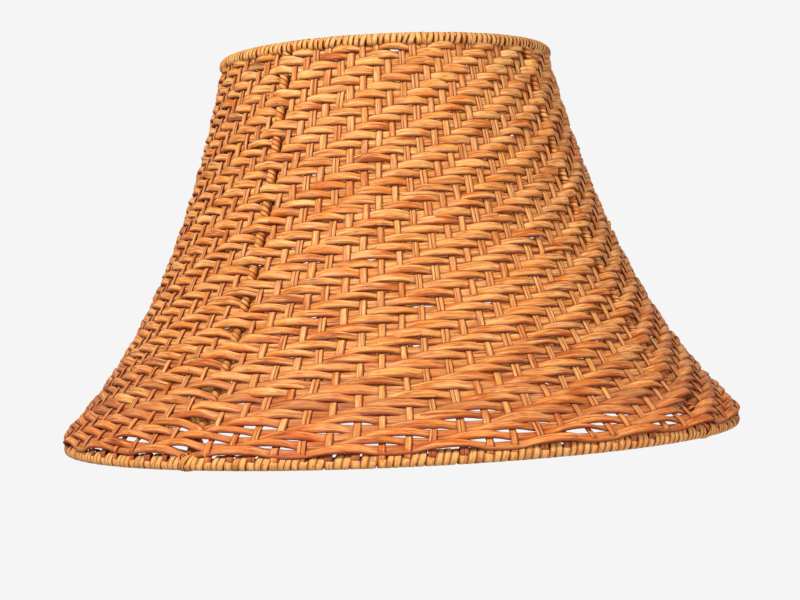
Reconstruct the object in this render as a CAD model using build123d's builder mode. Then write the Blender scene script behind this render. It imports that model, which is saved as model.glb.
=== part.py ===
"""Woven rattan lamp shade: a bell of split rattan on a wrapped wire frame, with a spider fitter.

The origin is the centre of the base, +Z is up, and everything is in millimetres.
The wall is one curve turned about Z. Depths are measured inwards from its outer face.
"""
from build123d import *
from math import asin, degrees
import os

os.makedirs("parts", exist_ok=True)

# Driving dimensions
bottom_rim_r = 227.0  # outer radius of the bound bottom rim
top_rim_r = 112.8  # outer radius of the bound top rim
ring_height = 250.0  # from the bottom hoop's centre plane to the top hoop's
bottom_binding_r = 4.5  # half the height of the bound bottom rim
top_binding_r = 4.0
hoop_wire_r = 2.0
rib_wire_r = 1.6
rib_wrap_r = 2.65
rib_tie_r = 4.2
rib_tie_length = 9.0
rib_count = 4
first_rib_angle = 45.0
rib_arcs = 10

stakes_per_quarter = 22  # between two ribs, each of which takes the place of one more stake
stake_width = 4.0
stake_thickness = 1.0

course_count = 13
rows_per_course = 4  # one repeat of the twill
weaver_thickness = 2.4
row_groove = 0.7  # how far the outer face dips between two rows
rim_gap = 2.5  # bare stretch of the stakes above the bottom rim
course_gap = 0.15

hub_r = 16.0
hub_thickness = 2.0
hub_hole_r = 5.55  # clears a harp's threaded stud
hub_drop = 16.0  # from the top hoop's centre plane down to the hub
arm_count = 3
arm_wire_r = 1.75
first_arm_angle = 90.0

# Places that follow from them
bottom_hoop_r = bottom_rim_r - bottom_binding_r
bottom_hoop_z = bottom_binding_r
top_hoop_r = top_rim_r - top_binding_r
top_hoop_z = bottom_hoop_z + ring_height
quarter = 360 / rib_count
stake_step = quarter / (stakes_per_quarter + 1)
stake_depth = weaver_thickness + stake_thickness / 2 + 0.1
rib_depth = rib_wrap_r + 0.1
fit = 0.2  # clearance beside a rib
wire_clearance = 0.1  # round a wire where it leaves a binding

# The wall's outer face as a Bezier curve, (radius, height), from the bottom rim to the top rim
wall_points = [
    Vector(bottom_rim_r - 0.2, bottom_hoop_z + 6.5),
    Vector(bottom_rim_r - 9.0, bottom_hoop_z + 20.7),
    Vector(bottom_rim_r - 72.5, bottom_hoop_z + 62.0),
    Vector(top_rim_r - 1.9, top_hoop_z - 3.5),
]


def wall_at_depth(depth):
    """Control points of the wall's curve, moved inwards by depth along the normals at its two ends."""
    foot = (wall_points[1] - wall_points[0]).normalized()
    head = (wall_points[3] - wall_points[2]).normalized()
    foot_inwards = Vector(-foot.Y, foot.X) * depth
    head_inwards = Vector(-head.Y, head.X) * depth
    return [
        wall_points[0] + foot_inwards,
        wall_points[1] + foot_inwards,
        wall_points[2] + head_inwards,
        wall_points[3] + head_inwards,
    ]


def write(part, name):
    part.label = name
    export_step(part, f"parts/{name}.step")


def ring(radius, height, section_r, hollow_r=0.0):
    """A hoop about Z with a round section, hollow if hollow_r is given."""
    with BuildPart() as hoop:
        with BuildSketch(Plane.XZ):
            with Locations((radius, height)):
                Circle(section_r)
                if hollow_r:
                    Circle(hollow_r, mode=Mode.SUBTRACT)
        revolve(axis=Axis.Z)
    return hoop.part


def tube_along(path, section_r, hollow_r=0.0):
    """A round tube swept along an edge."""
    with BuildPart() as tube:
        with BuildSketch(Plane(origin=path @ 0, z_dir=path % 0)):
            Circle(section_r)
            if hollow_r:
                Circle(hollow_r, mode=Mode.SUBTRACT)
        sweep(path=path)
    return tube.part


# Hoops
bottom_hoop = ring(bottom_hoop_r, bottom_hoop_z, hoop_wire_r)
top_hoop = ring(top_hoop_r, top_hoop_z, hoop_wire_r)
write(bottom_hoop, "bottom_hoop")
write(top_hoop, "top_hoop")


# Ribs: a wire from hoop to hoop in the thickness of the weave, its cane wrap and its tie
def rib_line():
    """The rib's centre line at angle 0: tangent arcs through points of a curve that ends in the hoops' middles."""
    wall = wall_at_depth(rib_depth)
    foot = Vector(bottom_hoop_r, bottom_hoop_z)
    head = Vector(top_hoop_r, top_hoop_z)
    with BuildLine() as guide:
        Bezier(foot, wall[1] - Vector(1.5, 3.0), wall[2], head)
    guide_curve = guide.edge()
    # closer together at the foot, where the curve bends most
    points = [guide_curve @ (i / rib_arcs) ** 2 for i in range(rib_arcs + 1)]
    first_heading = guide_curve % 0
    heading = (first_heading.X, first_heading.Y)
    with BuildLine(Plane.XZ) as line:
        for start, end in zip(points, points[1:]):
            arc = TangentArc((start.X, start.Y), (end.X, end.Y), tangent=heading)
            heading = ((arc % 1).X, (arc % 1).Z)
    return line.wire()


def part_of(path, start, end):
    """The stretch of a path between two distances along it."""
    return path.trim(start / path.length, end / path.length)


rib_curve = rib_line()
rib_foot = bottom_binding_r
rib_head = rib_curve.length - top_binding_r
wire_stretch = part_of(rib_curve, hoop_wire_r, rib_curve.length - hoop_wire_r)
rib_wire = tube_along(wire_stretch, rib_wire_r)
rib_sleeve = tube_along(part_of(rib_curve, rib_foot, rib_head), rib_wrap_r, rib_wire_r)
rib_collar = tube_along(part_of(rib_curve, rib_foot, rib_foot + rib_tie_length), rib_tie_r, rib_wrap_r)

rib_angles = [first_rib_angle + quarter * i for i in range(rib_count)]
rib_wires = [rib_wire.rotate(Axis.Z, angle) for angle in rib_angles]
for number, angle in enumerate(rib_angles, start=1):
    write(rib_wires[number - 1], f"rib_{number}")
    write(rib_sleeve.rotate(Axis.Z, angle), f"rib_wrap_{number}")
    write(rib_collar.rotate(Axis.Z, angle), f"rib_tie_{number}")


# Spider fitter: a washer hung below the top hoop on three arms
hub_z = top_hoop_z - hub_drop
arm_z = hub_z + hub_thickness / 2 + arm_wire_r * 0.8  # sunk a little into the washer, as a weld
arm_inner_r = hub_hole_r + 4.5

with BuildLine(Plane.XZ) as arm_line:
    FilletPolyline(
        (arm_inner_r, arm_z),
        (hub_r + 8, arm_z),
        (top_hoop_r, top_hoop_z),
        radius=20,
    )
arm_curve = arm_line.wire()
arm_wire = tube_along(part_of(arm_curve, 0, arm_curve.length - hoop_wire_r), arm_wire_r)
arm_angles = [first_arm_angle + i * 360 / arm_count for i in range(arm_count)]
arms = [arm_wire.rotate(Axis.Z, angle) for angle in arm_angles]
for number, arm in enumerate(arms, start=1):
    write(arm, f"spider_arm_{number}")

with BuildPart() as spider_hub:
    with BuildSketch(Plane.XY.offset(hub_z - hub_thickness / 2)):
        Circle(hub_r)
        Circle(hub_hole_r, mode=Mode.SUBTRACT)
    extrude(amount=hub_thickness)
    add(arms, mode=Mode.SUBTRACT)
write(spider_hub.part, "spider_hub")


# Rim bindings: the wrapped cane round each hoop, with a hole where each wire of the frame leaves it
def bound_rim(radius, height, section_r, wires):
    """A sleeve on a hoop. Each wire is an angle, a heading away from the hoop at angle 0 and a radius."""
    with BuildPart() as rim:
        add(ring(radius, height, section_r, hoop_wire_r))
        for angle, heading, wire_r in wires:
            middle = Vector(radius, 0, height).rotate(Axis.Z, angle)
            with BuildSketch(Plane(origin=middle, z_dir=heading.rotate(Axis.Z, angle))):
                Circle(wire_r + wire_clearance)
            extrude(amount=2 * section_r, mode=Mode.SUBTRACT)
    return rim.part


rib_feet = [(angle, rib_curve % 0, rib_wire_r) for angle in rib_angles]
rib_heads = [(angle, -(rib_curve % 1), rib_wire_r) for angle in rib_angles]
arm_ends = [(angle, -(arm_curve % 1), arm_wire_r) for angle in arm_angles]
bottom_binding = bound_rim(bottom_hoop_r, bottom_hoop_z, bottom_binding_r, rib_feet)
top_binding = bound_rim(top_hoop_r, top_hoop_z, top_binding_r, rib_heads + arm_ends)
write(bottom_binding, "bottom_rim_binding")
write(top_binding, "top_rim_binding")


# Weavers: courses of four rows, each a scalloped band that stops at the ribs
with BuildLine() as outer_line:
    Bezier(*wall_points)
with BuildLine() as inner_line:
    Bezier(*wall_at_depth(weaver_thickness))
outer = outer_line.edge()
inner = inner_line.edge()
row_height = (outer.length - rim_gap) / (course_count * rows_per_course)


def course_face(first_row):
    """The section of one course: a bulge for each row outside, and a plain inner face."""
    starts = [rim_gap + row_height * (first_row + i) for i in range(rows_per_course + 1)]
    starts[0] += course_gap / 2
    starts[-1] -= course_gap / 2
    places = [s / outer.length for s in starts]
    with BuildSketch(Plane.XZ) as face:
        with BuildLine():
            edge_points = []
            for u in places:
                dip = (inner @ u - outer @ u).normalized() * row_groove
                edge_points.append(outer @ u + dip)
            for i, (low, high) in enumerate(zip(edge_points, edge_points[1:])):
                crest = outer @ ((places[i] + places[i + 1]) / 2)
                ThreePointArc(low, crest, high)
            Line(edge_points[-1], inner @ places[-1])
            Line(inner @ places[-1], inner @ places[0])
            Line(inner @ places[0], edge_points[0])
        make_face()
    return face.sketch


for number in range(1, course_count + 1):
    section = course_face((number - 1) * rows_per_course)
    clear = (rib_tie_r if number == 1 else rib_wrap_r) + fit
    narrowest = section.bounding_box().min.X
    half_gap = degrees(asin(clear / narrowest))
    with BuildPart() as course:
        with PolarLocations(0, rib_count, start_angle=first_rib_angle + half_gap):
            add(section)
        revolve(axis=Axis.Z, revolution_arc=quarter - 2 * half_gap)
    write(course.part, f"weaver_course_{number:02d}")


# Stakes: upright peels just inside the weavers, from rim to rim
with BuildPart() as stake:
    with BuildSketch(Plane.XZ):
        with BuildLine():
            front = Bezier(*wall_at_depth(stake_depth - stake_thickness / 2))
            back = Bezier(*wall_at_depth(stake_depth + stake_thickness / 2))
            Line(front @ 0, back @ 0)
            Line(front @ 1, back @ 1)
        make_face()
    extrude(amount=stake_width / 2, both=True)

stakes_span = (stakes_per_quarter - 1) * stake_step
for number, angle in enumerate(rib_angles, start=1):
    with BuildPart() as stakes:
        with PolarLocations(0, stakes_per_quarter, angle + stake_step, stakes_span, endpoint=True):
            add(stake.part)
    write(stakes.part, f"stakes_{number}")
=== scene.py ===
"""The looks of a woven rattan lamp shade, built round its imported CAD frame.

The weave is laid out on the wall: a place on it is an angle about the axis, a distance up the slope from
the bottom rim, and a depth, which is positive outwards from the middle of the weave. Sizes are in metres.
"""

import math

import bpy
import numpy as np
from mathutils import Matrix, Vector


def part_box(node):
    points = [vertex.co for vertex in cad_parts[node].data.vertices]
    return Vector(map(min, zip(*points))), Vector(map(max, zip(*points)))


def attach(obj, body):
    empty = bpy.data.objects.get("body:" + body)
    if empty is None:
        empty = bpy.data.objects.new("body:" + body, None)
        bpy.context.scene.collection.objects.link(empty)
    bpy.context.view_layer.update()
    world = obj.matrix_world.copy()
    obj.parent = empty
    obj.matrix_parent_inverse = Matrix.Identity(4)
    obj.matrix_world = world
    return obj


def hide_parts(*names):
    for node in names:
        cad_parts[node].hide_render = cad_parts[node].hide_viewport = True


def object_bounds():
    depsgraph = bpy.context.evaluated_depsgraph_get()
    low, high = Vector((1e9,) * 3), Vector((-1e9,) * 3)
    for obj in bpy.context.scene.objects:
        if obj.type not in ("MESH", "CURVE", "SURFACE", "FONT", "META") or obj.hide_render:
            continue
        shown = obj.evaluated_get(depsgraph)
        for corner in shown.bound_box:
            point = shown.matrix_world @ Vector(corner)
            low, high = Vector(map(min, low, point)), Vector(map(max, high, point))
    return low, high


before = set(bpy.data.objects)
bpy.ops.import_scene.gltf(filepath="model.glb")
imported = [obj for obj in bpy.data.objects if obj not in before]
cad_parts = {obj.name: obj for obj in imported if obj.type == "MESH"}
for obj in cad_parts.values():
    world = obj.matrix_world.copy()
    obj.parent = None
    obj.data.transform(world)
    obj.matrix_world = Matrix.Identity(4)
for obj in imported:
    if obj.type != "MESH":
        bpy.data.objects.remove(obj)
cad_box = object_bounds()
MM = 0.001
TURN = 2 * math.pi
rng = np.random.default_rng(7)


# ---------------------------------------------------------------- places taken from the frame
bottom_low, bottom_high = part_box("bottom_rim_binding")
top_low, top_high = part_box("top_rim_binding")
BOTTOM_BAND = (bottom_high[2] - bottom_low[2]) / 2
BOTTOM_R = bottom_high[0] - BOTTOM_BAND
BOTTOM_Z = (bottom_high[2] + bottom_low[2]) / 2
TOP_BAND = (top_high[2] - top_low[2]) / 2
TOP_R = top_high[0] - TOP_BAND
TOP_Z = (top_high[2] + top_low[2]) / 2

# The wall's outer face as a Bezier curve of radius and height, as the CAD model has it
WALL = np.array([
    (BOTTOM_R + BOTTOM_BAND - 0.2 * MM, BOTTOM_Z + 6.5 * MM),
    (BOTTOM_R + BOTTOM_BAND - 9.0 * MM, BOTTOM_Z + 20.7 * MM),
    (BOTTOM_R + BOTTOM_BAND - 72.5 * MM, BOTTOM_Z + 62.0 * MM),
    (TOP_R + TOP_BAND - 1.9 * MM, TOP_Z - 3.5 * MM),
])
# A rib's middle, which leaves the wall at each end for the middle of the hoop
RIB_LINE = np.array([
    (BOTTOM_R, BOTTOM_Z),
    WALL[1] + np.array((-3.84, -4.45)) * MM,
    WALL[2] + np.array((-2.68, -0.63)) * MM,
    (TOP_R, TOP_Z),
])
MIDDLE = 1.7 * MM  # from the outer face to the middle of the weave


def bezier(points, t):
    a, b, c, d = points
    t = t[:, None]
    return (1 - t) ** 3 * a + 3 * (1 - t) ** 2 * t * b + 3 * (1 - t) * t ** 2 * c + t ** 3 * d


def unit(vectors):
    return vectors / np.linalg.norm(vectors, axis=-1, keepdims=True)


def run_of(points):
    """Distance along a line of points."""
    return np.concatenate([[0], np.cumsum(np.linalg.norm(np.diff(points, axis=0), axis=1))])


WALL_POINTS = 800
outer_line = bezier(WALL, np.linspace(0, 1, WALL_POINTS))
heading = unit(np.gradient(outer_line, axis=0))
outwards = np.stack([heading[:, 1], -heading[:, 0]], axis=1)
middle_line = outer_line - outwards * MIDDLE
slope = run_of(middle_line)
SLOPE_LENGTH = slope[-1]


def wall(angle, along, depth):
    """Points on the wall, and the directions out of it and up it.

    Past either end the wall goes straight on.
    """
    radius, height, out_r, out_z = (
        np.interp(along, slope, column) for column in (*middle_line.T, *outwards.T))
    length = np.hypot(out_r, out_z)
    out_r, out_z = out_r / length, out_z / length
    beyond = along - np.clip(along, 0, SLOPE_LENGTH)
    radius = radius - out_z * beyond + out_r * depth
    height = height + out_r * beyond + out_z * depth
    c, s = np.cos(angle), np.sin(angle)
    point = np.stack([radius * c, radius * s, height], axis=-1)
    out = np.stack([out_r * c, out_r * s, out_z], axis=-1)
    up = np.stack([-out_z * c, -out_z * s, out_r], axis=-1)
    return point, out, up


# ---------------------------------------------------------------- strands
def section_of(count, boxy, inner):
    """A strand's section: a crowned outer face and a flatter inner one."""
    turn = np.linspace(0, TURN, count, endpoint=False)
    side = np.sign(np.cos(turn)) * np.abs(np.cos(turn)) ** boxy
    out = np.sign(np.sin(turn)) * np.abs(np.sin(turn)) ** 0.9
    return np.stack([side, np.where(out < 0, out * inner, out)], axis=1)


def strand(points, out, side, half_side, half_out, number, section, closed=False, relief=None, **look):
    """One strand. out and side are its two cross directions; look holds its stains and painted shade, tone
    and red.

    number sets its colours and fibres apart from those of the other strands.
    """
    count = len(points)
    marks = np.zeros((count, 3))
    for column, key in enumerate(("stain", "tone", "red")):
        marks[:, column] = look.get(key, 0.0)
    return {
        "points": points, "out": out, "side": side, "half_side": np.broadcast_to(half_side, count),
        "half_out": np.broadcast_to(half_out, count), "number": number, "section": section,
        "closed": closed, "relief": relief, "look": marks}


def strands_mesh(name, strands, material):
    """One piece made of many strands.

    Each corner carries its place along the strand, its place across it and the strand's own number in
    "strand", and the strand's look in "look", for the material to read.
    """
    corners, faces, marks, looks = [], [], [], []
    total = 0
    for s in strands:
        count, around = len(s["points"]), len(s["section"])
        across = s["section"][None, :, 0] * s["half_side"][:, None]
        outward = s["section"][None, :, 1] * s["half_out"][:, None]
        if s["relief"] is not None:
            outward = outward + s["relief"]
        body = (s["points"][:, None] + s["side"][:, None] * across[..., None]
                + s["out"][:, None] * outward[..., None])
        corners.append(body.reshape(-1, 3))
        index = total + np.arange(count * around).reshape(count, around)
        if s["closed"]:
            below, above = index, np.roll(index, -1, axis=0)
        else:
            below, above = index[:-1], index[1:]
            faces.append(index[0][::-1].tolist())
            faces.append(index[-1].tolist())
        quads = np.stack([below, np.roll(below, -1, axis=1), np.roll(above, -1, axis=1), above], axis=-1)
        faces.extend(quads.reshape(-1, 4).tolist())
        mark = np.zeros((count, around, 3))
        mark[..., 0] = run_of(s["points"])[:, None]
        mark[..., 1] = s["section"][None, :, 0]
        mark[..., 2] = s["number"]
        marks.append(mark.reshape(-1, 3))
        looks.append(np.repeat(s["look"], around, axis=0))
        total += count * around
    mesh = bpy.data.meshes.new(name)
    mesh.from_pydata(np.concatenate(corners).tolist(), [], faces)
    for key, values in (("strand", marks), ("look", looks)):
        layer = mesh.attributes.new(key, "FLOAT_VECTOR", "POINT")
        layer.data.foreach_set("vector", np.concatenate(values).astype(np.float32).ravel())
    mesh.polygons.foreach_set("use_smooth", [True] * len(mesh.polygons))
    mesh.materials.append(material)
    mesh.update()
    piece = bpy.data.objects.new(name, mesh)
    bpy.context.scene.collection.objects.link(piece)
    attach(piece, "root")
    return piece


def wander(count, spacing, amount, closed=False):
    """A slow random wander: a value for each of count points, with a new target every spacing points."""
    knots = max(int(count / spacing), 4)
    values = rng.normal(0, amount, knots)
    places = np.linspace(0, knots, count, endpoint=False)
    low = np.floor(places).astype(int) % knots
    high = (low + 1) % knots if closed else np.minimum(low + 1, knots - 1)
    blend = 0.5 - 0.5 * np.cos(math.pi * (places - np.floor(places)))
    return values[low] * (1 - blend) + values[high] * blend


def ridges(section, count, height, spacing, closed=False):
    """Lengthwise ridges and grooves on a strand's two faces, which come and go along it."""
    place = section[None, :, 0] * rng.uniform(3.5, 6.0) + wander(count, spacing, 0.8, closed)[:, None]
    strength = height * (0.6 + 0.4 * np.tanh(wander(count, spacing * 1.7, 1.2, closed)))[:, None]
    return np.sin(place) * strength * np.abs(section[None, :, 1]) * np.sign(section[None, :, 1])


# ---------------------------------------------------------------- materials
class Nodes:
    """Short calls for building a material's nodes."""

    def __init__(self, name):
        self.material = bpy.data.materials.new(name)
        self.material.use_nodes = True
        self.tree = self.material.node_tree
        self.tree.nodes.clear()

    def add(self, kind, inputs=(), **settings):
        node = self.tree.nodes.new(kind)
        for key, value in settings.items():
            setattr(node, key, value)
        for key, value in dict(inputs).items():
            self.put(node.inputs[key], value)
        return node

    def put(self, socket, value):
        if isinstance(value, bpy.types.NodeSocket):
            self.tree.links.new(value, socket)
        else:
            socket.default_value = value

    def math(self, operation, a, b=0.0, clamp=False):
        return self.add("ShaderNodeMath", {0: a, 1: b}, operation=operation, use_clamp=clamp).outputs[0]

    def ramp(self, value, stops):
        node = self.add("ShaderNodeValToRGB", {"Fac": value})
        band = node.color_ramp
        while len(band.elements) < len(stops):
            band.elements.new(0.5)
        for element, (place, colour) in zip(band.elements, stops):
            element.position = place
            element.color = (*colour, 1)
        return node.outputs["Color"]

    def mix(self, factor, a, b, blend="MIX"):
        node = self.add("ShaderNodeMix", data_type="RGBA", blend_type=blend)
        self.put(node.inputs[0], factor)
        self.put(node.inputs[6], a)
        self.put(node.inputs[7], b)
        return node.outputs[2]

    def noise(self, vector, scale, detail, roughness):
        inputs = {"Vector": vector, "Scale": scale, "Detail": detail, "Roughness": roughness}
        return self.add("ShaderNodeTexNoise", inputs).outputs["Fac"]

    def vector(self, x, y, z):
        return self.add("ShaderNodeCombineXYZ", {0: x, 1: y, 2: z}).outputs[0]

    def surface(self, base, roughness, normal=None, metallic=0.0, specular=0.5):
        inputs = {
            "Base Color": base, "Roughness": roughness,
            "Metallic": metallic, "Specular IOR Level": specular}
        if normal is not None:
            inputs["Normal"] = normal
        shader = self.add("ShaderNodeBsdfPrincipled", inputs)
        self.add("ShaderNodeOutputMaterial", {"Surface": shader.outputs[0]})
        return self.material


PALE_PATCH = (0.92, 0.56, 0.22, 1)
# painted shade along the edges of each rattan strand
PAINTED_EDGE_SHADE = (0.16, 0.018, 0.001, 1)
RED_TINT = (1.0, 0.70, 0.55, 1)
# dark brown for real stains and for painted shade on hidden parts and in recesses
STAIN_AND_SHADE = (0.24, 0.050, 0.020, 1)
CREASE_STRENGTH = 0.75
FIBRE_BUMP = 0.6
RATTAN_ROUGHNESS = 0.45


def grey(level):
    return (level, level, level)


def rattan(name, palette, fibre=0.8):
    """Split rattan: colour that drifts along each strand, with fibres and creases that run lengthwise."""
    n = Nodes(name)
    place = n.add("ShaderNodeSeparateXYZ", {
        0: n.add("ShaderNodeAttribute", attribute_name="strand").outputs["Vector"]})
    look = n.add("ShaderNodeSeparateXYZ", {
        0: n.add("ShaderNodeAttribute", attribute_name="look").outputs["Vector"]})
    along, across, number = place.outputs[0], place.outputs[1], place.outputs[2]

    def stretched(along_scale, across_scale, number_scale, detail, roughness):
        spot = n.vector(n.math("MULTIPLY", along, along_scale), n.math("MULTIPLY", across, across_scale),
                        n.math("MULTIPLY", number, number_scale))
        return n.noise(spot, 1.0, detail, roughness)

    drift = stretched(24.0, 0.35, 7.31, 2.0, 0.55)
    drift = n.math("SUBTRACT", n.math("MULTIPLY", drift, 2.6), 0.8)
    colour = n.ramp(n.math("ADD", drift, look.outputs[1], clamp=True), palette)

    pale = n.ramp(stretched(45.0, 1.4, 5.3, 3.0, 0.6), [(0.42, grey(0)), (0.64, grey(0.8))])
    colour = n.mix(pale, colour, PALE_PATCH)
    fibres = stretched(60.0, 4.5, 3.7, 4.0, 0.7)
    fine = stretched(150.0, 13.0, 1.9, 3.0, 0.65)
    streaks = n.ramp(fibres, [(0.34, (0.32, 0.15, 0.06)), (0.45, (0.84, 0.72, 0.58)), (0.56, grey(1))])
    colour = n.mix(fibre, colour, streaks, "MULTIPLY")
    threads = n.ramp(fine, [(0.36, (0.55, 0.36, 0.22)), (0.52, grey(1))])
    colour = n.mix(fibre, colour, threads, "MULTIPLY")
    level = n.math("ABSOLUTE", n.math("SUBTRACT", stretched(22.0, 2.6, 2.3, 1.0, 0.5), 0.5))
    creases = n.ramp(level, [(0.0, (0.26, 0.09, 0.02)), (0.030, grey(1))])
    colour = n.mix(CREASE_STRENGTH, colour, creases, "MULTIPLY")

    # painted shade: dark edges along each strand, broader on the lower side of a weaver, where light from
    # above leaves it in shadow
    edge = n.ramp(n.math("MULTIPLY", n.math("ADD", across, 1.0), 0.5), [
        (0.0, grey(1)), (0.12, grey(0.70)), (0.32, grey(0)), (0.84, grey(0)), (1.0, grey(0.95))])
    colour = n.mix(edge, colour, PAINTED_EDGE_SHADE)
    colour = n.mix(look.outputs[2], colour, n.mix(1.0, colour, RED_TINT, "MULTIPLY"))
    # the first value of look darkens a strand: real stains, and painted shade on hidden parts and in recesses
    colour = n.mix(look.outputs[0], colour, STAIN_AND_SHADE)

    relief = n.math("ADD", fibres, n.math("MULTIPLY", fine, 0.5))
    bumped = n.add("ShaderNodeBump", {"Strength": FIBRE_BUMP, "Distance": 0.5 * MM, "Height": relief})
    rough = n.add("ShaderNodeMapRange", {
        "Value": fibres, "From Min": 0.3, "From Max": 0.7,
        "To Min": RATTAN_ROUGHNESS + 0.15, "To Max": RATTAN_ROUGHNESS - 0.05})
    return n.surface(colour, rough.outputs[0], bumped.outputs[0], specular=0.18)


def metal(name, colour, roughness, marks_depth):
    """Drawn and plated metal with fine marks and faint blotches."""
    n = Nodes(name)
    place = n.add("ShaderNodeTexCoord").outputs["Object"]
    marks = n.noise(place, 900.0, 3.0, 0.6)
    blotch = n.noise(place, 60.0, 3.0, 0.6)
    shade = n.ramp(blotch, [(0.35, tuple(c * 0.82 for c in colour)), (0.65, colour)])
    rough = n.add("ShaderNodeMapRange", {
        "Value": marks, "To Min": roughness - 0.06, "To Max": roughness + 0.12})
    bumped = n.add("ShaderNodeBump", {"Strength": marks_depth, "Distance": 0.2 * MM, "Height": marks})
    return n.surface(shade, rough.outputs[0], bumped.outputs[0], metallic=1.0)


BROWN = (0.32, 0.080, 0.013)
RUST = (0.55, 0.125, 0.012)
ORANGE = (0.68, 0.205, 0.026)
HONEY = (0.78, 0.320, 0.060)
PINK = (0.73, 0.290, 0.100)
STRAW = (0.86, 0.440, 0.115)
CREAM = (0.84, 0.470, 0.160)
STEEL = (0.30, 0.28, 0.26)
BRASS = (0.72, 0.52, 0.24)

weaver_material = rattan("weaver_rattan", [
    (0.0, BROWN), (0.14, RUST), (0.34, ORANGE), (0.56, HONEY), (0.74, PINK), (0.92, STRAW)])
stake_material = rattan("stake_rattan", [
    (0.0, RUST), (0.25, ORANGE), (0.5, PINK), (0.75, HONEY), (1.0, STRAW)], fibre=0.85)
binding_material = rattan("binding_cane", [
    (0.0, RUST), (0.22, ORANGE), (0.5, HONEY), (0.8, STRAW), (1.0, CREAM)], fibre=0.65)
wire_metal = metal("frame_wire", STEEL, 0.45, 0.15)
spider_metal = metal("spider_brass", BRASS, 0.28, 0.10)


# ---------------------------------------------------------------- the pattern of the weave
RIBS = 4
STAKES = 92  # places for stakes, of which the ribs take four
RIB_EVERY = STAKES // RIBS
FIRST_RIB = math.radians(45)
STEP = TURN / STAKES
ROWS = 52
REPEAT = 4  # the twill repeats after this many rows and stakes
FIRST_ROW = -2.1 * MM  # the lower edge of the lowest row, along the slope
PAST_TOP = 2.0 * MM  # how far the highest row reaches past the wall's curve
ROW = (SLOPE_LENGTH + PAST_TOP - FIRST_ROW) / ROWS
WEAVER_THICK = 1.9 * MM
STAKE_THICK = 1.1 * MM
SWING = 1.0 * MM  # how far a weaver's middle goes in and out
STAKE_SWING = 0.55 * MM
RIB_R = 2.65 * MM  # with its cane
RIB_DEPTH = -1.05 * MM
LOOSE_ROWS = 15  # the rows near the bottom rim, which lie more loosely
FOOT_ROWS = 3  # the lowest of them, which are narrower and arch more
TIGHT_ROWS = 9  # the rows near the top rim, which arch less and are wider
TIGHT_FADE = 4  # the rows over which that sets in
SHORT_TURN = 5.4 * MM  # the width of a short turn of the bottom rim's binding
TALL_TURN = 4.35 * MM


def is_over(row, stake):
    """Whether a row's weaver passes outside a stake: over two and under two, one stake on for each row up."""
    return (stake - row) % REPEAT < REPEAT // 2


def layout_of_feet():
    """Where the stakes meet the bottom rim: at the short turns of its binding.

    Two or three tall turns lie between one short turn and the next. Returns each stake's angle, and each
    turn as its angle, its width and whether it is short.
    """
    circle = TURN * BOTTOM_R
    place, feet, turns = 0.0, [], []
    for number in range(STAKES):
        size = SHORT_TURN * rng.uniform(0.92, 1.12)
        feet.append(place)
        turns.append((place, size, True))
        place += size / 2
        room = (number + 1) * circle / STAKES - place
        if room < SHORT_TURN / 2 + 2.15 * TALL_TURN:
            count = 2
        elif room > SHORT_TURN / 2 + 2.9 * TALL_TURN:
            count = 3
        else:
            count = rng.integers(2, 4)
        for _ in range(count):
            size = TALL_TURN * rng.uniform(0.86, 1.12)
            turns.append((place + size / 2, size, False))
            place += size
        place += SHORT_TURN / 2
    stretch = TURN / place
    feet = FIRST_RIB + np.array(feet) * stretch
    return feet, [(FIRST_RIB + at * stretch, size, kind) for at, size, kind in turns]


feet_angles, rim_turns = layout_of_feet()


def row_look(row, count, loose, behind):
    """A row's stains, tone and red, and painted shade on the parts that pass behind the stakes.

    The shade is red at the foot, brown just above it and paler near the top, and a row changes tone where
    a new strand starts.
    """
    height = row / ROWS
    joins = np.sort(rng.integers(0, count, rng.integers(4, 8)))
    tones = rng.normal(0, 0.11, len(joins) + 1)
    tones[-1] = tones[0]
    spread = tones[np.searchsorted(joins, np.arange(count))]
    usual_stain = np.interp(height, [0.0, 0.05, 0.09, 0.17, 0.26], [0.08, 0.08, 0.28, 0.20, 0.0])
    usual_tone = np.interp(
        height, [0, 0.055, 0.09, 0.17, 0.25, 0.7, 1.0], [-0.02, 0.0, 0.10, 0.10, 0.04, 0.03, 0.10])
    red = np.interp(height, [0, 0.05, 0.085, 0.17, 0.5, 0.9, 1.0], [0.75, 0.65, 0.50, 0.35, 0.2, 0.15, 0.0])
    patches = np.clip(1 + wander(count, 40, 0.6, True), 0, 2)
    return {
        # painted shade: the parts of a row behind the stakes are darkened, more in the loose rows near the
        # foot
        "stain": usual_stain * patches + (0.07 + 0.25 * loose) * behind,
        "tone": usual_tone + spread + wander(count, 16, 0.07, True),
        "red": float(red)}


# ---------------------------------------------------------------- weavers
PER_STAKE = 8
WEAVER_SECTION = section_of(14, 0.75, 0.75)


def eased(values, per_step):
    """Values at the stakes, eased in between, for a closed row of points."""
    t = np.linspace(0, 1, per_step, endpoint=False)
    ease = 0.5 - 0.5 * np.cos(math.pi * t)
    return (values[:, None] * (1 - ease) + np.roll(values, -1)[:, None] * ease).ravel()


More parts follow.
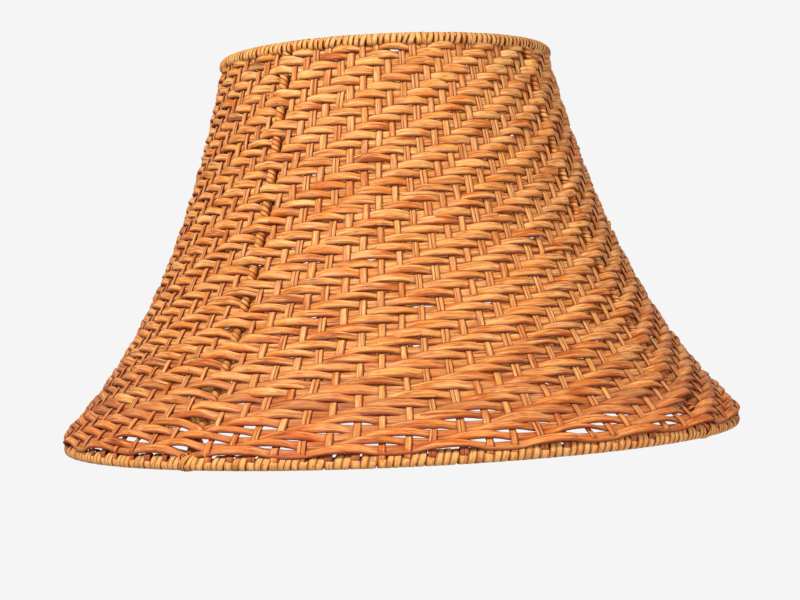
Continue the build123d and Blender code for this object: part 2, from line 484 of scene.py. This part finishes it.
def weaver(row):
    """The strands of one row: a weaver that goes all the way round, and the cut ends that lie beside it."""
    count = STAKES * PER_STAKE
    loose = np.clip(1 - row / LOOSE_ROWS, 0, 1)
    place = np.arange(count) / PER_STAKE
    angle = FIRST_RIB + place * STEP
    over = np.array([is_over(row, stake) for stake in range(STAKES)])
    depth = np.where(over, SWING, -SWING)
    round_rib = RIB_R + WEAVER_THICK / 2
    depth[::RIB_EVERY] = RIB_DEPTH + np.where(over[::RIB_EVERY], round_rib, -round_rib)
    outside = eased(over.astype(float), PER_STAKE)
    crest = np.cos(TURN * (place - row - 0.5) / REPEAT)  # 1 halfway along each float and -1 halfway behind
    bulge = np.maximum(crest, 0) ** 1.5 * (0.45 + 0.25 * loose) * MM
    tight = np.clip((row - ROWS + TIGHT_ROWS) / TIGHT_FADE, 0, 1)
    loose_arch = 0.45 if row < FOOT_ROWS else 0.30
    arch_height = (0.25 + loose_arch * loose - 0.15 * tight) * MM
    arch = arch_height * np.cos(TURN * (place - row - 0.62) / REPEAT)
    shift = wander(count, PER_STAKE * 1.6, (0.27 + 0.25 * loose) * MM, True)
    sag = wander(count, PER_STAKE * 9, 0.25 * MM, True)
    along = FIRST_ROW + (row + 0.5) * ROW + shift + sag + arch
    plump = (1 + wander(count, PER_STAKE * 2.3, 0.08, True)) * rng.normal(1, 0.03)
    behind = np.sqrt(np.maximum(-crest, 0))
    half_mm = 2.62 + 0.42 * np.maximum(crest, 0) + 0.50 * behind
    if row >= FOOT_ROWS:
        half_mm = half_mm + 0.55 * loose + 0.3 * tight
    half_side = half_mm * MM * plump
    half_out = WEAVER_THICK / 2 * (0.9 + 0.2 * outside)
    points, out, up = wall(angle, along, eased(depth, PER_STAKE) + bulge)
    ahead = unit(np.roll(points, -1, axis=0) - np.roll(points, 1, axis=0))
    tilt = wander(count, PER_STAKE * 2.1, 0.20, True)[:, None]
    side = up * np.cos(tilt) + out * np.sin(tilt)
    side = unit(side - ahead * np.sum(side * ahead, axis=1, keepdims=True))
    relief = ridges(WEAVER_SECTION, count, 0.17 * MM, PER_STAKE * 1.5, True)
    facing = -np.cross(side, ahead)
    look = row_look(row, count, loose, behind)
    strands = [strand(points, facing, side, half_side, half_out, row * 1.37 + 0.5,
                      WEAVER_SECTION, True, relief, **look)]
    # where strands are joined, the cut end of one lies beside the next
    for join in range(rng.integers(1, 4)):
        length = rng.integers(2 * PER_STAKE, 5 * PER_STAKE)
        first = rng.integers(0, count - length)
        part = slice(first, first + length)
        beside = rng.choice((-1.0, 1.0)) * rng.uniform(1.3, 2.1) * MM
        taper = np.interp(np.arange(length), [0, 3, length - 4, length], [0.45, 1.0, 1.0, 0.6])
        strands.append(strand(
            points[part] + side[part] * beside + facing[part] * 0.55 * MM, facing[part], side[part],
            half_side[part] * rng.uniform(0.42, 0.6) * taper, half_out[part] * 0.8, row * 1.37 + 60 + join,
            WEAVER_SECTION, tone=rng.normal(0.0, 0.15), stain=rng.uniform(0, 0.2), red=look["red"]))
    return strands


courses = sorted(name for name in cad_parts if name.startswith("weaver_course"))
rows_each = ROWS // len(courses)
for index, node in enumerate(courses):
    rows = range(index * rows_each, (index + 1) * rows_each)
    strands = [part for row in rows for part in weaver(row)]
    piece = strands_mesh(f"weavers_{index + 1:02d}", strands, weaver_material)
    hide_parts(node)


# ---------------------------------------------------------------- stakes
STAKE_SECTION = section_of(12, 0.5, 0.9)
ROW_POINTS = 5
FOOT_BEND_ROWS = 5  # the rows over which a stake leans to its foot
SPLIT_SHARE = 0.35  # of the stakes, which are two narrow peels side by side
# A stake's end as it bends over the bottom rim: degrees above its middle, and mm from it
TAIL = np.array([(66, 4.6), (44, 4.1), (24, 3.5), (6, 2.8)])
KNOT = np.array([(96, 4.2), (72, 5.2), (48, 5.0), (28, 3.9), (8, 2.8)])


def stake(number):
    """The strands of one stake, from the top rim down through the weave to its end in the bottom rim."""
    count = ROWS * ROW_POINTS + 1
    row_place = np.linspace(ROWS + 0.2, 0.35, count)
    outside = np.array([not is_over(row, number) for row in range(ROWS)], float)
    low = np.clip(np.floor(row_place - 0.5).astype(int), 0, ROWS - 1)
    high = np.clip(low + 1, 0, ROWS - 1)
    t = np.clip(row_place - 0.5 - low, 0, 1)
    ease = 0.5 - 0.5 * np.cos(math.pi * t)
    out_now = outside[low] * (1 - ease) + outside[high] * ease
    depth = (out_now * 2 - 1) * STAKE_SWING
    along = FIRST_ROW + row_place * ROW
    radius = np.interp(along, slope, middle_line[:, 0])
    angle = FIRST_RIB + number * STEP + wander(count, ROW_POINTS * 5, 0.5 * MM) / radius
    to_foot = feet_angles[number] - FIRST_RIB - number * STEP
    angle = angle + to_foot * np.clip(1 - row_place / FOOT_BEND_ROWS, 0, 1) ** 1.5
    points, out, _ = wall(angle, along, depth)

    end = TAIL if outside[0] else KNOT
    turn = np.radians(end[:, 0])
    lean = angle[-1] + rng.normal(0, 0.5 * MM) / BOTTOM_R * np.linspace(0.4, 1, len(end))
    reach = end[:, 1] * MM * (1 if outside[0] else rng.uniform(0.92, 1.08))
    c, s = np.cos(lean), np.sin(lean)
    end_out = np.stack([np.cos(turn) * c, np.cos(turn) * s, np.sin(turn)], axis=1)
    rim_middle = np.stack([BOTTOM_R * c, BOTTOM_R * s, np.full(len(end), BOTTOM_Z)], axis=1)
    points = np.concatenate([points, rim_middle + end_out * reach[:, None]])
    out = np.concatenate([out, end_out])
    total = len(points)
    ahead = unit(np.gradient(points, axis=0))
    side = unit(np.cross(ahead, out))
    out = np.cross(side, ahead)

    half = rng.uniform(2.0, 2.7) * MM
    half_side = half * (1 + wander(total, ROW_POINTS * 4, 0.06))
    from_end = total - 1 - np.arange(total)
    half_side = half_side * np.where(from_end < ROW_POINTS, 1.1, 1.0)
    stain = np.where(from_end < len(end), 0.10 if outside[0] else 0.6, 0.0)
    near_foot = np.clip(1 - from_end / (3.5 * ROW_POINTS), 0, 1)
    look = {"stain": stain, "tone": rng.normal(0.0, 0.12) - 0.25 * near_foot, "red": 0.1 + 0.8 * near_foot}
    key = 100 + number * 1.71
    if rng.random() > SPLIT_SHARE:
        relief = ridges(STAKE_SECTION, total, 0.12 * MM, ROW_POINTS * 12)
        return [strand(points, out, side, half_side, STAKE_THICK / 2, key, STAKE_SECTION,
                       relief=relief, **look)]
    split = rng.uniform(0.35, 0.65)
    halves = []
    for sign, share in ((-1, split), (1, 1 - split)):
        offset = sign * (0.98 - share) * half_side[:, None]
        halves.append(strand(points + side * offset, out, side, half_side * share, STAKE_THICK / 2,
                             key + sign * 0.4, STAKE_SECTION, **look))
    return halves


for quarter in range(RIBS):
    first = quarter * RIB_EVERY + 1
    strands = [part for number in range(first, first + RIB_EVERY - 1) for part in stake(number)]
    piece = strands_mesh(f"stake_peels_{quarter + 1}", strands, stake_material)
    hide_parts(f"stakes_{quarter + 1}")


# ---------------------------------------------------------------- ribs
CANE_SECTION = section_of(8, 0.6, 0.8)
RIB_CANE_PITCH = 6.2 * MM
RIB_CANE_R = 2.2 * MM  # from the rib's middle to the cane's
RIB_CANE_HALF = 1.55 * MM
RIB_CANE_THICK = 1.1 * MM
RIB_CANE_TUCK = 1.0 * MM  # how far it reaches into each rim's binding
PER_TURN = 20


def rib_places(angle, t):
    """Points along a rib's middle, with the directions along it, out of the wall and across it."""
    flat = bezier(RIB_LINE, t)
    way = unit(np.gradient(flat, axis=0))
    radial = np.array([math.cos(angle), math.sin(angle), 0])
    up = np.array([0, 0, 1])
    points = flat[:, :1] * radial + flat[:, 1:] * up
    ahead = way[:, :1] * radial + way[:, 1:] * up
    out = way[:, 1:] * radial - way[:, :1] * up
    return points, ahead, out, np.cross(out, ahead)


rib_t = np.linspace(0, 1, 400)
rib_run = run_of(rib_places(0.0, rib_t)[0])


def rib_at(angle, run):
    return rib_places(angle, np.interp(run, rib_run, rib_t))


def wound_cane(angle, start, end, half, number):
    """Cane wound round a rib between two distances along it, as one half of a double winding."""
    turns = (end - start) / RIB_CANE_PITCH
    count = int(turns * PER_TURN) + 1
    turn = np.linspace(0, turns * TURN, count) + half * math.pi
    middle, ahead, out, across = rib_at(angle, np.linspace(start, end, count))
    spoke = out * np.cos(turn)[:, None] + across * np.sin(turn)[:, None]
    points = middle + spoke * (RIB_CANE_R + wander(count, PER_TURN * 0.8, 0.06 * MM)[:, None])
    way = unit(np.gradient(points, axis=0))
    side = unit(np.cross(way, spoke))
    half_width = RIB_CANE_HALF * (1 + wander(count, PER_TURN * 1.5, 0.07))
    return strand(points, np.cross(side, way), side, half_width, RIB_CANE_THICK / 2, number, CANE_SECTION,
                  tone=wander(count, PER_TURN * 3, 0.12) - 0.15, red=0.2)


for rib in range(RIBS):
    angle = FIRST_RIB + rib * TURN / RIBS
    start = BOTTOM_BAND - RIB_CANE_TUCK
    end = rib_run[-1] - TOP_BAND + RIB_CANE_TUCK
    canes = [wound_cane(angle, start, end, half, 400 + rib * 2 + half) for half in range(2)]
    piece = strands_mesh(f"rib_cane_{rib + 1}", canes, binding_material)
    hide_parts(f"rib_wrap_{rib + 1}")


# ---------------------------------------------------------------- rim bindings
LOOP_TURN = np.linspace(0, TURN, 24, endpoint=False)
LEAN_IN = 0.22  # how far a turn's top leans in over its foot, as a share of its height
CORE_POINTS = 360
BOTTOM_TURN_THICK = 1.0 * MM
TOP_TURN_THICK = 0.75 * MM
TOP_TURNS = STAKES * 2


def closed_turn(points, spokes, half_width, thickness, number, **look):
    """A closed turn of cane through some points. The spokes lead to them from what it surrounds."""
    way = unit(np.roll(points, -1, axis=0) - np.roll(points, 1, axis=0))
    side = unit(np.cross(way, spokes))
    return strand(points, np.cross(side, way), side, half_width, thickness / 2, number, CANE_SECTION,
                  closed=True, **look)


def loop(radius, height, angle, lean, outline, half_width, thickness, number, **look):
    """One turn of cane round a rim. outline gives how far it reaches beside and above the rim's middle."""
    beside, above = outline
    around = angle + lean / radius * np.sin(LOOP_TURN) * 0.5
    c, s = np.cos(around), np.sin(around)
    points = np.stack([(radius + beside) * c, (radius + beside) * s, height + above], axis=1)
    middle = np.stack([radius * c, radius * s, height + np.full(len(c), above.mean())], axis=1)
    return closed_turn(points, points - middle, half_width, thickness, number, **look)


def egg(reach, rise, drop):
    """A loop's outline that reaches out by one distance, up by another and down by a third."""
    up = np.sin(LOOP_TURN)
    above = np.where(up > 0, up * rise, up * drop)
    return np.cos(LOOP_TURN) * reach - above * LEAN_IN, above


def core(radius, height, reach, number, **look):
    """The bundle inside a rim, seen only between the turns round it."""
    angle = np.linspace(0, TURN, CORE_POINTS, endpoint=False)
    c, s = np.cos(angle), np.sin(angle)
    points = np.stack([radius * c, radius * s, np.full(len(angle), height)], axis=1)
    up = np.tile((0.0, 0.0, 1.0), (len(angle), 1))
    return strand(points, np.stack([c, s, 0 * c], axis=1), up, reach, reach, number, section_of(12, 1, 1),
                  closed=True, **look)


def bottom_binding():
    """Tall turns, with a short one at the foot of each stake that holds its end."""
    # painted shade: the bundle inside the rim is darkened, as it is seen only in the recesses between the
    # turns
    strands = [core(BOTTOM_R, BOTTOM_Z - 0.2 * MM, 2.9 * MM, 498, stain=0.75)]
    for i, (angle, size, short) in enumerate(rim_turns):
        lean = rng.normal(2.5, 0.5) * MM
        look = {"tone": rng.normal(0.30, 0.10), "red": 0.25, "stain": float(rng.random() < 0.06) * 0.25}
        if short:
            outline = egg(3.45 * MM, rng.uniform(0.9, 1.7) * MM, 3.9 * MM)
            lean *= 0.4
        else:
            rise = rng.normal(4.15, 0.18) * MM
            outline = egg(rng.normal(3.75, 0.08) * MM, rise, 3.95 * MM)
        strands.append(loop(BOTTOM_R, BOTTOM_Z, angle, lean, outline, size * 0.53, BOTTOM_TURN_THICK,
                            500 + i * 0.77, **look))
    return strands


def top_binding():
    """Broad and narrow turns over a pale strand along the top edge and the stakes' upper ends."""
    # painted shade: the lower bundle is darkened, as it is seen only in the recesses between the turns; the
    # upper one is pale
    strands = [core(TOP_R, TOP_Z - 0.6 * MM, 2.4 * MM, 898, stain=0.75),
               core(TOP_R + 0.3 * MM, TOP_Z + 1.3 * MM, 2.0 * MM, 899, tone=0.2)]
    pitch = TOP_R * TURN / TOP_TURNS
    for i in range(TOP_TURNS):
        angle = FIRST_RIB + TURN * (i + rng.uniform(-0.12, 0.12)) / TOP_TURNS
        outline = egg(rng.normal(3.3, 0.06) * MM, rng.normal(3.55, 0.06) * MM, rng.uniform(3.2, 3.9) * MM)
        half = pitch * rng.uniform(0.34, 0.54)
        lean = rng.normal(1.3, 0.8) * MM
        strands.append(loop(TOP_R, TOP_Z, angle, lean, outline, half, TOP_TURN_THICK,
                            900 + i * 0.77, tone=rng.normal(0.24, 0.12)))
    return strands


piece = strands_mesh("bottom_rim_cane", bottom_binding(), binding_material)
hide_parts("bottom_rim_binding")
piece = strands_mesh("top_rim_cane", top_binding(), binding_material)
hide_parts("top_rim_binding")


# ---------------------------------------------------------------- lashings at the feet of the ribs
RIB_TURNS_AT = np.array([12.5, 14.6, 16.6]) * MM  # distances up the rib
RIB_TURN_SLANTS = (-0.55, 0.0, 0.55)


def ring_round(middle, first, second, first_reach, second_reach, half_width, thickness, number, **look):
    """A closed turn of cane in the plane of two directions."""
    first, second = unit(np.array(first, float)), unit(np.array(second, float))
    first_part = (np.cos(LOOP_TURN) * first_reach)[:, None] * first
    second_part = (np.sin(LOOP_TURN) * second_reach)[:, None] * second
    spokes = first_part + second_part
    return closed_turn(middle + spokes, spokes, half_width, thickness, number, **look)


def lashing(rib):
    """Crossed turns that tie a rib to the bottom rim, and three more round the rib just above them."""
    angle = FIRST_RIB + rib * TURN / RIBS
    radial = np.array([math.cos(angle), math.sin(angle), 0.0])
    along_rim = np.array([-math.sin(angle), math.cos(angle), 0.0])
    up = np.array([0.0, 0.0, 1.0])
    rim_middle = radial * BOTTOM_R + up * BOTTOM_Z
    strands = []
    for i, sign in enumerate((-1, 1)):
        # over the rim on the slant, crossing below the rib
        tilt = along_rim * sign * 0.62 + up
        outward = radial + along_rim * sign * 0.05
        for j in range(2):
            middle = rim_middle + along_rim * sign * (j - 0.5) * 2.1 * MM
            strands.append(ring_round(middle, outward, tilt, (4.5 + 0.5 * i) * MM, (4.9 + 0.3 * j) * MM,
                                      1.0 * MM, 1.0 * MM, 700 + rib * 9 + i * 2 + j, tone=-0.12, red=0.3))
    places, ahead, out, across = rib_at(angle, RIB_TURNS_AT)
    for j, slant in enumerate(RIB_TURN_SLANTS):
        middle = places[j] + out[j] * 0.5 * MM
        strands.append(ring_round(middle, out[j], across[j] + ahead[j] * slant, 3.9 * MM, 4.0 * MM,
                                  1.1 * MM, 1.2 * MM, 740 + rib * 9 + j, tone=-0.25, red=0.7))
    return strands


for rib in range(RIBS):
    piece = strands_mesh(f"rib_lashing_{rib + 1}", lashing(rib), binding_material)
    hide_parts(f"rib_tie_{rib + 1}")


# ---------------------------------------------------------------- the frame's own metal
for name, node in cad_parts.items():
    if name.startswith("spider"):
        finish = spider_metal
    elif name.endswith("hoop") or name in [f"rib_{i + 1}" for i in range(RIBS)]:
        finish = wire_metal
    else:
        continue
    node.data.materials.clear()
    node.data.materials.append(finish)


# ---------------------------------------------------------------- stage, light and camera
FLOOR_Z = -1.3  # far below, as a lamp holds the shade up
FLOOR_R = 6.1
FLOOR_CORNERS = 96
floor_mesh = bpy.data.meshes.new("floor")
floor_edge = [(FLOOR_R * math.cos(a), FLOOR_R * math.sin(a), FLOOR_Z)
              for a in np.linspace(0, TURN, FLOOR_CORNERS, endpoint=False)]
floor_mesh.from_pydata(floor_edge, [], [list(range(FLOOR_CORNERS))])
pale = Nodes("pale_floor")
floor_mesh.materials.append(pale.surface((0.92, 0.92, 0.92, 1), 0.9, specular=0.2))
floor = bpy.data.objects.new("floor", floor_mesh)
bpy.context.scene.collection.objects.link(floor)

BACKDROP = 0.913  # what the camera sees behind the shade
SKY = 0.42  # the soft light that comes from everywhere
world = bpy.data.worlds.new("studio")
world.use_nodes = True
tree = world.node_tree
rays = tree.nodes.new("ShaderNodeLightPath")
level = tree.nodes.new("ShaderNodeMapRange")
level.inputs["To Min"].default_value = SKY
level.inputs["To Max"].default_value = BACKDROP
tree.links.new(rays.outputs["Is Camera Ray"], level.inputs["Value"])
tree.links.new(level.outputs["Result"], tree.nodes["Background"].inputs["Strength"])
tree.nodes["Background"].inputs["Color"].default_value = (1, 1, 1, 1)
bpy.context.scene.world = world


centre = (0, 0, (cad_box[0][2] + cad_box[1][2]) / 2)


def area_light(name, place, size, power):
    """A square light that faces the middle of the shade."""
    data = bpy.data.lights.new(name, "AREA")
    data.size = size
    data.energy = power
    light = bpy.data.objects.new(name, data)
    light.location = place
    light.rotation_euler = (Vector(centre) - Vector(place)).to_track_quat("-Z", "Y").to_euler()
    bpy.context.scene.collection.objects.link(light)


CAMERA_ANGLE = math.radians(259.2)
CAMERA_AWAY = 1.21
CAMERA_HEIGHT = 0.102
CAMERA_YAW = math.radians(-0.13)
CAMERA_PITCH = math.radians(-0.5)
CAMERA_ROLL = math.radians(2.6)


def seen_from_camera(right, towards, up):
    """A place given by how far it is right of the axis, towards the camera and up."""
    c, s = math.cos(CAMERA_ANGLE), math.sin(CAMERA_ANGLE)
    return (towards * c - right * s, towards * s + right * c, up)


area_light("key", seen_from_camera(-0.8, 1.3, 1.25), 0.40, 43)
area_light("fill", seen_from_camera(1.5, 1.2, 0.3), 1.0, 18)

camera_data = bpy.data.cameras.new("camera")
camera_data.lens = 79.8
camera_data.sensor_width = 36
camera_data.clip_end = 200
camera = bpy.data.objects.new("camera", camera_data)
camera.location = seen_from_camera(0, CAMERA_AWAY, CAMERA_HEIGHT)
aim = Vector(seen_from_camera(0, -1, 0)).to_track_quat("-Z", "Y").to_matrix()
for turn, axis in ((CAMERA_YAW, "Y"), (CAMERA_PITCH, "X"), (-CAMERA_ROLL, "Z")):
    aim = aim @ Matrix.Rotation(turn, 3, axis)
camera.rotation_euler = aim.to_euler()
bpy.context.scene.collection.objects.link(camera)
bpy.context.scene.camera = camera
bpy.context.scene.view_settings.view_transform = "Standard"
